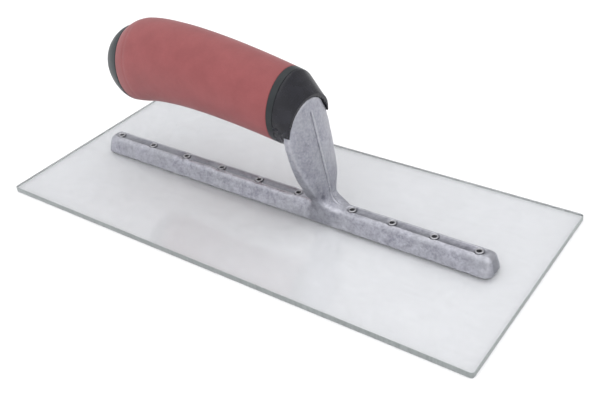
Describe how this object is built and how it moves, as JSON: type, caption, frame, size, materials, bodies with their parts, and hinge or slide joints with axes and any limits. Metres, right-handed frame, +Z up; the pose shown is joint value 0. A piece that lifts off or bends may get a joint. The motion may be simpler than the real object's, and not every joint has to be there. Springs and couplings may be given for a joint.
{
  "type": "finishing trowel",
  "caption": "Flat finishing trowel with a clear plastic blade riveted under a cast aluminium bar, and an arched soft-grip handle on a leaning shank.",
  "frame": {"origin": "centre of the blade's underside", "axes": "+X along the blade, towards the end ahead of the shank; +Y across the blade; +Z up from the working face to the handle"},
  "size_m": [0.2794, 0.1206, 0.091],
  "materials": {
    "clear_sheet": "polished clear plastic sheet",
    "cast_metal": "as cast, lightly tumbled",
    "rivet_metal": "bright",
    "hard_plastic": "satin moulded",
    "grip_red": "matte soft-touch",
    "collar_black": "semi-gloss moulded",
    "cap_black": "satin moulded",
    "plated_steel": "zinc plated"
  },
  "bodies": {
    "root": {"blade": "clear_sheet", "mounting": "cast_metal", "blade_rivets": "rivet_metal", "handle_core": "hard_plastic", "soft_grip": "grip_red", "front_collar": "collar_black", "end_cap": "cap_black", "handle_bolt": "plated_steel", "bolt_washer": "plated_steel"}
  },
  "joints": []
}
